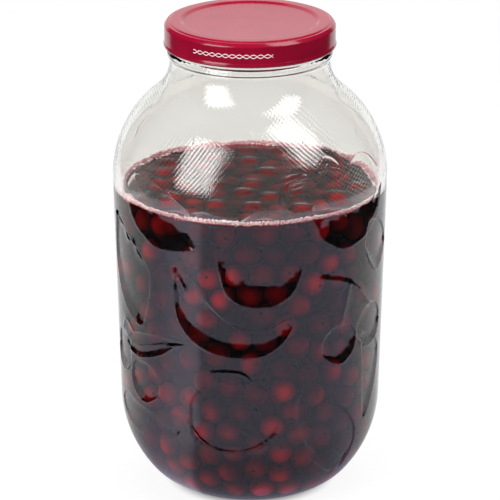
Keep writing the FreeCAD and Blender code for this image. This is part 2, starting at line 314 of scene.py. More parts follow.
def wall_outline(inset, floor, fine=1):
    """Rows from the middle of the base up to the hollow's end. inset is 0 outside and the wall inside."""
    foot, body = WALL_FOOT_RADIUS - inset, BODY_RADIUS - inset
    lean = math.atan((body - foot) / (SHOULDER_HEIGHT - HEEL_HEIGHT))
    side = HEEL_RADIUS - inset
    side_at = (foot - side * math.cos(lean), HEEL_HEIGHT + side * math.sin(lean))
    across, up = BEARING_OUTER - side_at[0], side_at[1] - floor
    toe = (across ** 2 + up ** 2 - side ** 2) / (2 * (up - side))
    toe_at = (BEARING_OUTER, floor + toe)
    share = side / (side - toe)
    meet = tuple(side_at[i] + (toe_at[i] - side_at[i]) * share for i in (0, 1))
    dome = (BEARING_INNER ** 2 + PUSH_UP ** 2) / (2 * PUSH_UP)
    shoulder = SHOULDER_RADIUS - inset
    shoulder_at = (body - shoulder * math.cos(lean), SHOULDER_HEIGHT + shoulder * math.sin(lean))
    sweep, neck = NECK_FILLET + inset, NECK_RADIUS - inset
    reach = shoulder + sweep
    rise = math.sqrt(reach ** 2 - (neck + sweep - shoulder_at[0]) ** 2)
    sweep_at = (neck + sweep, shoulder_at[1] + rise)
    turn_point = tuple(shoulder_at[i] + (sweep_at[i] - shoulder_at[i]) * shoulder / reach for i in (0, 1))
    rows = arc((0, floor + PUSH_UP - dome), (0, floor + PUSH_UP), (BEARING_INNER, floor), 8 * fine)
    rows += arc(toe_at, (BEARING_OUTER, floor), meet, 12 * fine)
    rows += arc(side_at, meet, (foot, HEEL_HEIGHT), 20 * fine)[1:]
    rows += [(foot + (body - foot) * k / 16, HEEL_HEIGHT + (SHOULDER_HEIGHT - HEEL_HEIGHT) * k / 16)
             for k in range(1, 17)]
    rows += arc(shoulder_at, (body, SHOULDER_HEIGHT), turn_point, 20 * fine)[1:]
    rows += arc(sweep_at, turn_point, (neck, sweep_at[1]), 14 * fine)[1:]
    return rows


# %% [markdown]
# ## Outside, inside and finish of the neck
# The outside and the inside are the same outline, one wall apart. The foam stands on the juice, so the
# juice itself meets the glass a little under the level, and the inside gets a row of its own there. The
# neck ends in a round bead, which the lid's lugs catch, and a rounded rim that the seal sits on.

# %% Rows of the jar
FOAM_TALL = 1.3
CONTACT = LIQUID_LEVEL - FOAM_TALL
outside = wall_outline(0.0, 0.0)
inside = wall_outline(WALL, BOTTOM)
above = next(i for i, (r, z) in enumerate(inside) if z > CONTACT and r > BEARING_OUTER)
below_row, above_row = inside[above - 1], inside[above]
contact_radius = np.interp(CONTACT, (below_row[1], above_row[1]), (below_row[0], above_row[0]))
inside.insert(above, (float(contact_radius), CONTACT))

bead_in = math.sqrt(BEAD_ROUND ** 2 - BEAD_HALF ** 2)
rim_at = RIM_HEIGHT - RIM_ROUND
bore = NECK_RADIUS - WALL
finish_outside = arc((NECK_RADIUS - bead_in, BEAD_HEIGHT), (NECK_RADIUS, BEAD_HEIGHT - BEAD_HALF),
                     (NECK_RADIUS, BEAD_HEIGHT + BEAD_HALF), 10)
finish_outside += arc((NECK_RADIUS - RIM_ROUND, rim_at), (NECK_RADIUS, rim_at),
                      (NECK_RADIUS - RIM_ROUND, RIM_HEIGHT), 6)
finish_inside = arc((bore + RIM_ROUND, rim_at), (bore + RIM_ROUND, RIM_HEIGHT), (bore, rim_at), 6)
print("outside rows", len(outside), "inside rows", len(inside), "hollow ends at", round(outside[-1][1], 2))


# %% Radius at a height
def radius_table(rows, least):
    """Heights and radii of the rows that are wider than least, from the bottom up."""
    table = np.array([(z, r) for r, z in rows if r > least])
    return table[np.argsort(table[:, 0], kind="stable")]


outside_table = radius_table(wall_outline(0.0, 0.0, fine=12), BEARING_OUTER + 1)
inside_table = radius_table(inside, BEARING_OUTER - 1)


def wall_radius(height):
    """The outside's radius at a height on the heel, the wall or the shoulder."""
    return np.interp(height, outside_table[:, 0], outside_table[:, 1])


def bore_radius(height):
    """The inside's radius at a height."""
    return np.interp(height, inside_table[:, 0], inside_table[:, 1])


# %% [markdown]
# ## Fruits pressed into the wall
# The mould gives the wall a common orchard pattern: apples, pears, a banana and a strawberry, cherries and
# leaves. Each fruit is a shallow dish: a sharp step in at its upper edge, a floor that follows the wall,
# and a slope out to its lower edge, which tips up to the dark room and shows as a dark crescent. Stalks,
# veins and some rims are fine ridges. Painting all this as bump would not bend what is seen through the
# glass, so it is real relief. It fades out on the shoulder, above the juice.
#
# The wall is unrolled flat, the fruits are drawn on it in millimetres (distance round the wall, height), a
# smooth curve is laid through each line's few points, and the whole set comes twice round the jar.

# %% The pattern, unrolled
ROLL = 83.5
LAP = 2 * math.pi * ROLL
EDGE = 0.7
FADE_LOW, FADE_HIGH = 198.0, 206.0
BAND_LOW, BAND_HIGH = 15.0, 248.0

# name: (closed outline, step in, swell, width of the slope, side that the slope faces)
FRUITS = {
    "left pear": ([(-89, 199), (-86, 191), (-80, 184), (-72, 179), (-65, 175), (-56, 174), (-45, 175),
        (-34, 178), (-34, 184), (-35, 198), (-45, 209), (-56, 213), (-72, 219), (-83, 219), (-89, 211)],
        1.3, 0.3, 21, (-0.35, -0.94)),
    "strawberry": ([(-113, 176), (-110, 186), (-100, 183), (-91, 176), (-79, 169), (-70, 160), (-68, 150),
        (-71, 134), (-77, 120), (-85, 120), (-98, 127), (-108, 138), (-115, 155)],
        0.8, 0.7, 9, (-0.5, -0.87)),
    "banana": ([(-47, 161), (-37, 162), (-28, 148), (-17, 137), (-3, 130), (12, 131), (25, 136), (24, 124),
        (12, 113), (-3, 110), (-22, 112), (-38, 120), (-47, 132), (-49, 147)], 1.1, 1.0, 10, (-0.2, -0.98)),
    "pear": ([(-19, 166), (-15, 152), (-6, 145), (3, 143), (15, 144), (26, 151), (31, 163), (31, 180),
        (28, 196), (24, 206), (17, 212), (9, 210), (0, 204), (-9, 196), (-15, 184), (-19, 174)],
        1.1, 0.9, 15, (-0.1, -0.99)),
    "apple": ([(38, 198), (41, 191), (44, 184), (50, 179), (62, 173), (77, 175), (89, 179), (99, 189),
        (103, 203), (99, 215), (90, 226), (81, 229), (71, 227), (64, 221), (58, 219), (50, 221), (42, 215),
        (38, 208)], 1.4, 0.3, 25, (0.1, -0.99)),
    "right pear": ([(83, 170), (86, 184), (98, 184), (112, 174), (118, 164), (110, 154), (99, 149),
        (88, 158)], 0.8, 0.6, 9, (0.0, -1.0)),
    "right cherry": ([(92, 131), (101, 128), (108, 120), (108, 111), (101, 103), (92, 101), (83, 104),
        (77, 112), (77, 121), (83, 128)], 0.8, 0.7, 7, (0.3, -0.95)),
    "middle cherry": ([(61, 125), (69, 123), (75, 116), (75, 108), (69, 101), (61, 98), (53, 101),
        (47, 108), (47, 116), (53, 123)], 0.8, 0.9, 8, (0.4, -0.92)),
    "far left cherry": ([(-105, 109), (-97, 106), (-93, 99), (-93, 91), (-97, 84), (-105, 81), (-113, 84),
        (-117, 91), (-117, 99), (-113, 106)], 0.8, 0.9, 8, (-0.3, -0.95)),
    "left cherry": ([(-77, 96), (-69, 94), (-63, 87), (-63, 78), (-69, 71), (-77, 68), (-86, 71), (-92, 78),
        (-92, 87), (-86, 94)], 0.8, 0.9, 7, (-0.5, -0.87)),
    "left leaf": ([(-100, 102), (-92, 110), (-82, 114), (-64, 117), (-53, 117), (-42, 116), (-50, 111),
        (-62, 103), (-80, 97), (-92, 98)], 0.8, 0.7, 5, (0.3, -0.95)),
    "low apple": ([(-39, 70), (-38, 80), (-32, 88), (-22, 95), (-12, 94), (-2, 95), (9, 91), (16, 82),
        (18, 73), (17, 63), (11, 55), (0, 49), (-12, 47), (-24, 49), (-33, 55), (-38, 62)],
        0.8, 0.7, 1.9, (0.0, -1.0)),
    "low plum": ([(31, 83), (40, 82), (52, 77), (66, 68), (77, 54), (80, 40), (77, 25), (68, 22), (56, 27),
        (44, 37), (35, 50), (30, 65)], 0.7, 0.7, 6, (0.0, -1.0)),
    "far right leaf": ([(82, 112), (96, 108), (109, 96), (108, 82), (100, 66), (88, 54), (85, 72),
        (84, 92)], 0.7, 0.5, 8, (0.5, -0.87)),
    "far left leaf": ([(-112, 60), (-102, 68), (-88, 66), (-72, 64), (-56, 60), (-46, 56), (-56, 50),
        (-72, 46), (-90, 46), (-104, 50)], 0.6, 0.5, 6, (0.0, -1.0)),
}
# name: (open line, height of the ridge, half width)
RIDGES = {
    "pear stalk": ([(20, 211), (21, 215), (24, 220), (29, 223), (35, 224)], 0.7, 1.3),
    "banana stalk": ([(-48, 162), (-45, 157), (-42, 152)], 0.8, 1.8),
    "apple leaf edge": ([(43, 229), (50, 234), (57, 232), (62, 226)], 0.45, 0.9),
    "apple leaf vein": ([(44, 224), (52, 228), (61, 225)], 0.35, 0.8),
    "apple top": ([(58, 219), (64, 222), (71, 227), (81, 229), (90, 226), (98, 217)], 0.45, 0.9),
    "left pear top": ([(-89, 209), (-83, 217), (-72, 218), (-60, 215), (-50, 211), (-42, 206), (-35, 198)],
        0.35, 0.9),
    "low apple rim": ([(-39, 66), (-36, 58), (-30, 52), (-21, 48), (-12, 47), (0, 49), (9, 53), (16, 61)],
        -0.5, 0.7),
    "low plum rim": ([(78, 32), (74, 24), (66, 22), (56, 27), (45, 36), (36, 49)], -0.4, 0.7),
    "left pear shine": ([(-82, 215), (-78, 212), (-73, 208)], -0.3, 1.0),
    "cherry stalk": ([(45, 158), (56, 155), (68, 150), (79, 142), (90, 131)], 0.5, 1.1),
    "second cherry stalk": ([(68, 150), (65, 138), (61, 125)], 0.45, 1.0),
    "left leaf vein": ([(-92, 103), (-78, 106), (-62, 111), (-46, 115)], 0.35, 0.9),
    "left cherry stalk": ([(-105, 109), (-98, 118), (-88, 113)], 0.4, 0.9),
    "low apple stalk": ([(-24, 100), (-14, 101), (-5, 100), (0, 96), (2, 91)], 0.5, 1.1),
    "strawberry crown": ([(-112, 183), (-104, 180), (-96, 178), (-92, 172), (-84, 172), (-80, 166),
        (-74, 163)], 0.5, 1.0),
}
print(len(FRUITS), "fruits and leaves,", len(RIDGES), "stalks and veins, twice round the wall")


# %% [markdown]
# ## Curves and distances on the unrolled wall
# What the mould cuts at a spot depends on how far the spot is from each line, whether it lies inside it,
# and which way the line faces there. These are plain sums on flat lines, done for all spots at once.

# %% Lines on the unrolled wall
def smooth_line(points, closed, step=1.4):
    """The points joined by a smooth curve through all of them and cut into even steps."""
    p = np.array(points, float)
    count = len(p)
    spans = range(count if closed else count - 1)
    out = []
    for i in spans:
        if closed:
            a, b, c, d = (p[(i + j) % count] for j in (-1, 0, 1, 2))
        else:
            a, b, c, d = (p[min(max(i + j, 0), count - 1)] for j in (-1, 0, 1, 2))
        steps = max(2, int(np.linalg.norm(c - b) / step))
        for k in range(steps):
            t = k / steps
            out.append(0.5 * (2 * b + (c - a) * t + (2 * a - 5 * b + 4 * c - d) * t * t
                              + (3 * b - a - 3 * c + d) * t ** 3))
    if not closed:
        out.append(p[-1])
    return np.array(out)


def distance_to(line, closed, spots):
    """Each spot's distance to a line, whether it lies inside, and the line's outward side beside it.

    A closed line runs anticlockwise, so its outward side is on its right.
    """
    a = line if closed else line[:-1]
    b = np.roll(line, -1, axis=0) if closed else line[1:]
    near = np.full(len(spots), 1e9)
    within = np.zeros(len(spots), bool)
    outward = np.zeros((len(spots), 2))
    for p, q in zip(a, b):
        along = q - p
        share = np.clip(((spots - p) @ along) / (along @ along + 1e-12), 0, 1)
        gap = np.hypot(*(spots - p - share[:, None] * along).T)
        closer = gap < near
        near = np.where(closer, gap, near)
        outward[closer] = np.array((along[1], -along[0])) / (np.linalg.norm(along) + 1e-9)
        if closed:
            crossing = (p[1] > spots[:, 1]) != (q[1] > spots[:, 1])
            with np.errstate(divide="ignore", invalid="ignore"):
                meets_at = p[0] + (spots[:, 1] - p[1]) * along[0] / along[1]
            within ^= crossing & (spots[:, 0] < meets_at)
    return near, within, outward


def beside(line, closed, offset):
    """The line moved sideways by offset, outwards where it is a closed one."""
    if closed:
        along = np.roll(line, -1, axis=0) - np.roll(line, 1, axis=0)
    else:
        along = np.gradient(line, axis=0)
    along /= np.linalg.norm(along, axis=1)[:, None] + 1e-9
    return line + offset * np.stack([along[:, 1], -along[:, 0]], axis=1)


def anticlockwise(line):
    """The closed line in the order that has its inside on the left."""
    turned = np.roll(line, -1, axis=0)
    area = (line[:, 0] * turned[:, 1] - turned[:, 0] * line[:, 1]).sum()
    return line if area > 0 else line[::-1].copy()


def slope_width(outward, width, faces):
    """The slope is widest where the outline faces the given side, and runs out where it turns away."""
    return width * np.clip(outward @ np.array(faces), 0, 1) ** 0.9


# %% The whole set, twice round
fruit_lines, ridge_lines = [], []
for shift in (0.0, LAP / 2):
    for points, *shape in FRUITS.values():
        line = anticlockwise(smooth_line([(u + shift, z) for u, z in points], True))
        fruit_lines.append((line, *shape))
    for points, ridge, half in RIDGES.values():
        ridge_lines.append((smooth_line([(u + shift, z) for u, z in points], False), ridge, half))

print(len(fruit_lines), "closed lines,", len(ridge_lines), "ridges")

# %% [markdown]
# ## A net that is fine only where it has to be
# An even net fine enough for the fruits' edges would be far too heavy. Points crowd along each line, on
# its foot and crest and where its slope ends, and a coarse lattice fills the plain glass between. The
# net's two long edges match the turned rows above and below, so that the jar closes without a gap.


# %% Points that crowd along the lines
def thin_out(spots, gap):
    """Drops each spot that lies within gap of an earlier one."""
    taken, kept = {}, []
    for spot in spots:
        cell = (int(spot[0] // gap), int(spot[1] // gap))
        crowd = [taken[c] for c in ((cell[0] + i, cell[1] + j) for i in (-1, 0, 1) for j in (-1, 0, 1))
                 if c in taken]
        if all(abs(spot[0] - o[0]) + abs(spot[1] - o[1]) > gap for o in crowd):
            taken[cell] = spot
            kept.append(spot)
    return kept


THIN_GAP = 0.42
CLEAR_CELL = 1.4
LATTICE_WIDE, LATTICE_TALL = 3.0, 2.6
seam = -LAP / 4
band = BAND_HIGH - BAND_LOW
edge_spots = [(seam + LAP * k / SEGMENTS, z) for k in range(SEGMENTS + 1) for z in (BAND_LOW, BAND_HIGH)]
climbs = int(band / 2.4)
edge_spots += [(u, BAND_LOW + band * k / climbs) for k in range(1, climbs) for u in (seam, seam + LAP)]

line_spots = []
for line, step_in, swell, width, faces in fruit_lines:
    for offset in (0.0, -EDGE / 2, -EDGE, 0.5, -EDGE - 0.7, 1.3, -2.4 * EDGE):
        line_spots += [tuple(p) for p in beside(line, True, offset)]
    outward = beside(line, True, 1.0) - line
    wide = slope_width(outward, width, faces)
    for more in (-0.5, 0.4):
        ends = line - outward * (wide + more)[:, None]
        line_spots += [tuple(p) for p, w in zip(ends, wide) if w > 1.0]
for line, _, half in ridge_lines:
    for share in (0.0, 0.7, -0.7, 1.5, -1.5):
        line_spots += [tuple(p) for p in beside(line, False, share * half)]
lattice = [(seam + LATTICE_WIDE * (i + 0.5 * (j % 2)) + 1.5, BAND_LOW + LATTICE_TALL * j + 1.8)
           for j in range(int(band / LATTICE_TALL)) for i in range(int(LAP / LATTICE_WIDE))]


def well_inside(spots):
    """The spots that are over a millimetre from the band's edges."""
    return [p for p in spots if seam + 1 < p[0] < seam + LAP - 1 and BAND_LOW + 1 < p[1] < BAND_HIGH - 1]


kept = thin_out(well_inside(line_spots), THIN_GAP)
crowded = {(int(u // CLEAR_CELL), int(z // CLEAR_CELL)) for u, z in kept}
around_it = [(i, j) for i in (-1, 0, 1) for j in (-1, 0, 1)]
fill = [(u, z) for u, z in well_inside(lattice)
        if all((int(u // CLEAR_CELL) + i, int(z // CLEAR_CELL) + j) not in crowded for i, j in around_it)]
net_spots = np.array(edge_spots + kept + fill)
print("net of", len(net_spots), "points,", len(kept), "of them along the fruits")


# %% The height of the relief at each point
def faded(spots):
    """0 on the wall, growing to 1 on the shoulder, where the pressing fades out."""
    return np.clip((spots[:, 1] - FADE_LOW) / (FADE_HIGH - FADE_LOW), 0, 1)


def relief(spots):
    """How far the glass stands out (or in, below nought) from the plain wall at each spot."""
    out = np.zeros(len(spots))
    for line, step_in, swell, width, faces in fruit_lines:
        low, high = line.min(axis=0) - 1, line.max(axis=0) + 1
        box = np.all((spots > low) & (spots < high), axis=1)
        near, within, outward = distance_to(line, True, spots[box])
        soft = EDGE * (1 + (0.5 + 2.5 * faded(spots[box])) * np.clip(outward[:, 1], 0, 1))
        share = np.clip(near / soft, 0, 1) * within
        wide = slope_width(outward, width, faces)
        climb = np.clip(1 - near / (wide + 1e-6), 0, 1)
        out[box] += (share * share * (3 - 2 * share)) * (-step_in + (step_in + swell) * climb)
    fade = faded(spots)
    out *= 1 - fade
    for line, ridge, half in ridge_lines:
        low, high = line.min(axis=0) - 5, line.max(axis=0) + 5
        box = np.all((spots > low) & (spots < high), axis=1)
        near, *_ = distance_to(line, False, spots[box])
        out[box] += ridge * np.exp(-((near / half) ** 2)) * (1 - 0.5 * fade[box])
    return out


# %% The net bent round the axis
NET_MARGIN = 0.02
net, _, net_faces, *_ = delaunay_2d_cdt([tuple(s) for s in net_spots], [], [], 0, 1e-6)
net = np.array([tuple(v) for v in net])
stand = relief(net)
radius = np.minimum(wall_radius(net[:, 1]) + stand, BODY_RADIUS - NET_MARGIN)
angle = net[:, 0] / ROLL
band_points = np.stack([radius * np.sin(angle), -radius * np.cos(angle), net[:, 1]], axis=1)
print("relief from", round(stand.min(), 2), "to", round(stand.max(), 2), "mm in", len(net_faces), "triangles")

# %% [markdown]
# ## The whole jar
# Turned rows close the band below, over the heel and base, and above, over the shoulder, the neck and the
# inside. Everything is merged to one closed piece of glass.

# %% The whole jar
def joined(*parts):
    """One list of points and one of faces from several."""
    points, faces = [], []
    for more_points, more_faces in parts:
        faces += [[i + len(points) for i in face] for face in more_faces]
        points += more_points
    return points, faces


low_rows = [row for row in outside if row[1] < BAND_LOW - 0.3] + [(float(wall_radius(BAND_LOW)), BAND_LOW)]
high_rows = [(float(wall_radius(BAND_HIGH)), BAND_HIGH)]
high_rows += [row for row in outside if row[1] > BAND_HIGH + 0.3] + finish_outside + finish_inside
high_rows += list(reversed(inside))
jar = new_piece("pressed_jar", *joined(turn(low_rows), turn(high_rows),
                                       ([tuple(p) for p in band_points], net_faces)))


def open_edge_count(piece):
    """Edges that don't have exactly two faces: nought on a closed piece."""
    uses = {}
    for face in piece.data.polygons:
        for key in face.edge_keys:
            uses[key] = uses.get(key, 0) + 1
    return sum(1 for n in uses.values() if n != 2)


# %% Where juice lies against the glass
for face in jar.data.polygons:
    x, y, z = face.center / MM
    inner = math.hypot(x, y) < bore_radius(z) + 1.0
    face.material_index = int(inner and BOTTOM - 2 < z < CONTACT)
print("jar open edges", open_edge_count(jar), "wet faces", sum(f.material_index for f in jar.data.polygons))

# %% [markdown]
# ## The juice
# Where a liquid touches glass there is no air, so the juice's body reaches a little into the wall, and the
# jar's own inner face is made clear there: the eye then meets one border, glass to juice, and not two. The
# surface climbs the wall a little at its edge, as water does, and the cherries that have swum up lift it
# in low domes, which catch pale arcs of light. It is a net of its own, finest in the lip at the wall.

# %% Juice body
INTO_WALL = 0.3
CLIMB = 0.5
CLIMB_WIDTH = 2.5
side_rows = [(r + INTO_WALL, z) for r, z in inside if r >= BEARING_OUTER - 0.5 and z < CONTACT - 1]
floor_rows = [(r, z - INTO_WALL) for r, z in inside if r < BEARING_OUTER - 0.5]
wall_at_level = float(bore_radius(CONTACT))
SURFACE = CONTACT - CLIMB
LIP = wall_at_level - 0.05


def juice_piece(domes):
    """The juice's closed body; domes are the places where a cherry lifts the surface."""
    body = turn(floor_rows + side_rows + [(wall_at_level + INTO_WALL, CONTACT), (LIP, CONTACT)])
    ring = [at(LIP - back, 2 * math.pi * k / SEGMENTS - math.pi, 0)[:2]
            for back in (0, 0.25, 0.6, 1.1, 1.8, 2.7, 3.9) for k in range(SEGMENTS)]
    grid = [(1.5 * (i + 0.5 * (j % 2)), 1.3 * j) for j in range(-60, 61) for i in range(-54, 55)]
    grid = [p for p in grid if math.hypot(*p) < LIP - 5.0]
    flat, _, net_faces, *_ = delaunay_2d_cdt(ring + grid, [], [], 0, 1e-6)
    flat = np.array([tuple(v) for v in flat])
    inward = np.clip((LIP - np.hypot(flat[:, 0], flat[:, 1])) / CLIMB_WIDTH, 0, 1)
    up = CONTACT - CLIMB * (1 - (1 - inward) ** 3)
    for x, y, high, wide in domes:
        off = np.hypot(flat[:, 0] - x, flat[:, 1] - y) / wide
        up += high * np.exp(-(off ** 2.8)) * inward
    surface = [(x, y, z) for (x, y), z in zip(flat, up)]
    return new_piece("cherry_juice", *joined(body, (surface, net_faces)))


# %% [markdown]
# ## The cherries
# Sour cherries lie packed against the wall, on the bottom and up under the surface, where the topmost
# ones lift it. A real jar is full of them all the way in, but dark juice hides all but the outer ones, so
# only those are made. Their places come from a settling step: spheres are scattered near the wall and
# pushed apart until they no longer overlap, each one kept off the wall by a gap of its own, so that some
# show bright and others dim through the juice.

# %% Places for the cherries
CHERRY = 16.0
SKIN_DEPTH = 23.0
UNDER = 0.5
SWUM_UP = 34
dice = np.random.default_rng(7)


def depth_in(places):
    """How far each place is from the wall or bottom, and from the surface."""
    around = np.hypot(places[:, 0], places[:, 1])
    side = bore_radius(np.clip(places[:, 2], BOTTOM + 0.5, LIQUID_LEVEL)) - around
    return np.minimum(side, places[:, 2] - BOTTOM), SURFACE - places[:, 2]


def scatter(count):
    """Places near the wall, the bottom or the surface, at random."""
    out = []
    while len(out) < count:
        spot = dice.uniform((-80, -80, 10), (80, 80, SURFACE - 5), (4000, 3))
        wall, top = depth_in(spot)
        good = (wall > CHERRY / 2) & ((wall < SKIN_DEPTH) | (top < CHERRY * 1.1))
        out += list(spot[good])
    return np.array(out[:count])


def settle(places, rounds, clear):
    """Pushes overlapping cherries apart and back inside the jar, each clear of the wall by its own gap."""
    half = CHERRY / 2
    for _ in range(rounds):
        away = places[:, None, :] - places[None, :, :]
        gap = np.sqrt((away ** 2).sum(axis=2)) + np.eye(len(places)) * 1e6
        push = np.clip(CHERRY * 0.985 - gap, 0, None) / gap
        places = places + 0.32 * (away * push[:, :, None]).sum(axis=1)
        around = np.hypot(places[:, 0], places[:, 1]) + 1e-9
        room = bore_radius(np.clip(places[:, 2], BOTTOM + 0.5, LIQUID_LEVEL)) - half - clear
        places[:, :2] *= np.minimum(1, room / around)[:, None]
        places[:, 2] = np.clip(places[:, 2], BOTTOM + half + 4.0, SURFACE - half - UNDER - 0.6 * clear)
    return places


# %% Cherries and the domes over them
CHERRY_COUNT = 740
DOME_GAP = 17
clear = 0.4 + 5.5 * dice.random(CHERRY_COUNT) ** 2.0
cherry_places = settle(scatter(CHERRY_COUNT), 60, clear)
under = SURFACE - cherry_places[:, 2]
domes = []
for i in np.argsort(under + 0.6 * dice.random(CHERRY_COUNT)):
    x, y, z = cherry_places[i]
    if math.hypot(x, y) < LIP - 9 and all(math.hypot(x - p, y - q) > DOME_GAP for p, q, *_ in domes):
        domes.append((x, y, dice.uniform(0.6, 1.0), dice.uniform(5.0, 6.6)))
        cherry_places[i][2] = SURFACE - CHERRY / 2 - 0.1
    if len(domes) == SWUM_UP:
        break
print(CHERRY_COUNT, "cherries,", len(domes), "of them lifting the surface")
juice = juice_piece(domes)
print("juice open edges", open_edge_count(juice))


# %% [markdown]
# ## One cherry, set hundreds of times
# One cherry of under a hundred faces is turned: nearly round, with the dimple of its stalk and the pit's
# hole at the top. A Geometry Nodes tree sets it on each place with its own turn and size, and the result
# is kept as plain mesh, true to size. The same tree sets the bubbles later.

# %% One cherry
def one_cherry(name, around=12, rings=8):
    """A round cherry, marked where the pit's hole is."""
    rows = []
    for k in range(rings + 1):
        a = math.pi * k / rings
        height = -math.cos(a) * (0.93 if k > rings / 2 else 0.96)
        if k >= rings - 1:
            height -= 0.16 if k == rings else 0.03
        rows.append((max(math.sin(a), 0.0) * CHERRY / 2, height * CHERRY / 2))
    points, faces = turn(rows, around)
    cherry = new_piece(name, points, faces)
    mark = cherry.data.attributes.new("hollow", "FLOAT", "POINT")
    for v in cherry.data.vertices:
        in_dimple = v.co.z > 0 and math.hypot(v.co.x, v.co.y) < 0.05 * CHERRY * MM
        mark.data[v.index].value = 1.0 if in_dimple else 0.0
    return cherry


cherry_shape = one_cherry("one_cherry")


# %% Geometry Nodes for what is scattered
def new_tree(name, inputs):
    """A Geometry Nodes tree with named inputs, and its helper, input node and output node."""
    tree = bpy.data.node_groups.new(name, "GeometryNodeTree")
    tree.interface.new_socket("Geometry", in_out="INPUT", socket_type="NodeSocketGeometry")
    for title, kind, value in inputs:
        socket = tree.interface.new_socket(title, in_out="INPUT", socket_type=kind)
        if value is not None:
            socket.default_value = value
    tree.interface.new_socket("Geometry", in_out="OUTPUT", socket_type="NodeSocketGeometry")
    nodes = Nodes(tree)
    return tree, nodes, nodes.add("NodeGroupInput").outputs, nodes.add("NodeGroupOutput")


def bake(carrier, tree, values, name):
    """Runs a tree on a carrier object and returns the result as a plain mesh object; the carrier goes."""
    modifier = carrier.modifiers.new("made", "NODES")
    modifier.node_group = tree
    sockets = {s.name: s.identifier for s in tree.interface.items_tree if s.in_out == "INPUT"}
    for title, value in values.items():
        modifier[sockets[title]] = value
    graph = bpy.context.evaluated_depsgraph_get()
    mesh = bpy.data.meshes.new_from_object(carrier.evaluated_get(graph))
    mesh.name = name
    bpy.data.objects.remove(carrier)
    for face in mesh.polygons:
        face.use_smooth = True
    print(name, len(mesh.polygons), "faces")
    return shown(name, mesh)


def point_cloud(name, places, sizes):
    """A mesh of loose points with a size kept on each, as a carrier for a tree."""
    mesh = bpy.data.meshes.new(name)
    mesh.from_pydata([tuple(MM * c for c in p) for p in places], [], [])
    kept = mesh.attributes.new("size", "FLOAT", "POINT")
    kept.data.foreach_set("value", np.array(sizes, dtype=np.float32))
    return shown(name, mesh)


def put_shapes(nodes, given, out, material, points, **how):
    """The end of a tree: the given shape on each point, made real, with its material."""
    shape = nodes.add("GeometryNodeObjectInfo", {"Object": given["Shape"]}).outputs["Geometry"]
    put = nodes.add("GeometryNodeInstanceOnPoints", {"Points": points, "Instance": shape, **how}).outputs[0]
    real = nodes.add("GeometryNodeRealizeInstances", {"Geometry": put}).outputs[0]
    finish = nodes.add("GeometryNodeSetMaterial", {"Geometry": real, "Material": material}).outputs[0]
    nodes.tree.links.new(finish, out.inputs["Geometry"])


# %% The scattering tree
def scatter_tree(name, material):
    """Sets a shape on every point, turned at random and scaled by the point's own size."""
    tree, nodes, given, out = new_tree(name, [
        ("Shape", "NodeSocketObject", None), ("Most turn", "NodeSocketFloat", 6.28),
        ("Seed", "NodeSocketInt", 3)])
    most = nodes.add("ShaderNodeCombineXYZ", {0: given["Most turn"], 1: given["Most turn"],
                                              2: given["Most turn"]}).outputs[0]
    spin = nodes.add("FunctionNodeRandomValue", {1: most, 8: given["Seed"]},
                     data_type="FLOAT_VECTOR").outputs[0]
    size = nodes.add("GeometryNodeInputNamedAttribute", {"Name": "size"}, data_type="FLOAT").outputs[0]
    put_shapes(nodes, given, out, material, given["Geometry"], Rotation=spin, Scale=size)
    return tree


# %% [markdown]
# ## The finish of the cherries
# A soaked sour cherry is dark red, a little paler where the flesh shows through, and painted shade makes it
# nearly black inside the hole its pit left. Slow noise makes neighbours differ, fast noise mottles the skin.
# Near the surface, painted shade darkens those by the wall, and painted light from above makes those in the
# middle paler. The juice takes away a wet shine, so the skin has none of its own.

# %% Cherry skin
# Heights and radii in metres where the painted shade and painted light on the cherries begin.
NEAR_SURFACE, NEAR_WALL = (0.160, 0.185), (0.058, 0.068)
cherry_skin, nodes, place = new_material("cherry_skin")
slow = nodes.step(nodes.noise(place, 42.0, 1.0), 0.35, 0.68)
fast = nodes.step(nodes.noise(place, 420.0, 3.0), 0.35, 0.75)
tone = nodes.mix(slow, (0.09, 0.003, 0.014), (0.50, 0.030, 0.085))
tone = nodes.mix(nodes.times(fast, 0.35), tone, (0.25, 0.03, 0.065))
# Painted shade: cherries near the surface and by the wall are darkened towards near black.
high_up = nodes.step(nodes.parts(place)[2], *NEAR_SURFACE)
by_wall = nodes.step(nodes.from_axis(place), *NEAR_WALL)
tone = nodes.mix(nodes.times(high_up, nodes.times(by_wall, 0.5)), tone, (0.04, 0.008, 0.012))
# Painted light from above: cherries near the surface in the middle are made paler.
painted_top_light = nodes.times(high_up, nodes.opposite(by_wall))
tone = nodes.mix(nodes.times(painted_top_light, 0.4), tone, (0.50, 0.16, 0.16))
# Painted shade inside the pit's hole: the marked dimple is darkened nearly to black.
hollow = nodes.add("ShaderNodeAttribute", attribute_name="hollow").outputs["Fac"]
tone = nodes.mix(nodes.step(hollow, 0.5, 0.8), tone, (0.05, 0.002, 0.007))
dents = nodes.bump(nodes.noise(place, 260.0, 2.0), 0.25, 0.0006)
skin = nodes.add("ShaderNodeBsdfPrincipled", {"Base Color": tone, "Roughness": 0.4, "IOR": 1.42,
                                              "Specular IOR Level": 0.0, "Normal": dents})
nodes.show(skin.outputs[0])

# %% Cherries
tree = scatter_tree("set_cherries", cherry_skin)
sizes = dice.uniform(0.93, 1.03, len(cherry_places))
cherries = bake(point_cloud("cherry_points", cherry_places, sizes), tree, {"Shape": cherry_shape, "Seed": 5},
                "cherries")
bpy.data.objects.remove(cherry_shape)

# %% [markdown]
# ## The foam
# A ring of fine bubbles stays on the juice where it meets the glass: a soft mauve froth with single pale
# bubbles standing in it, most of them against the wall. The froth is a band whose section swells and
# shrinks round the jar, and the bubbles are small spheres set by the same tree as the cherries.

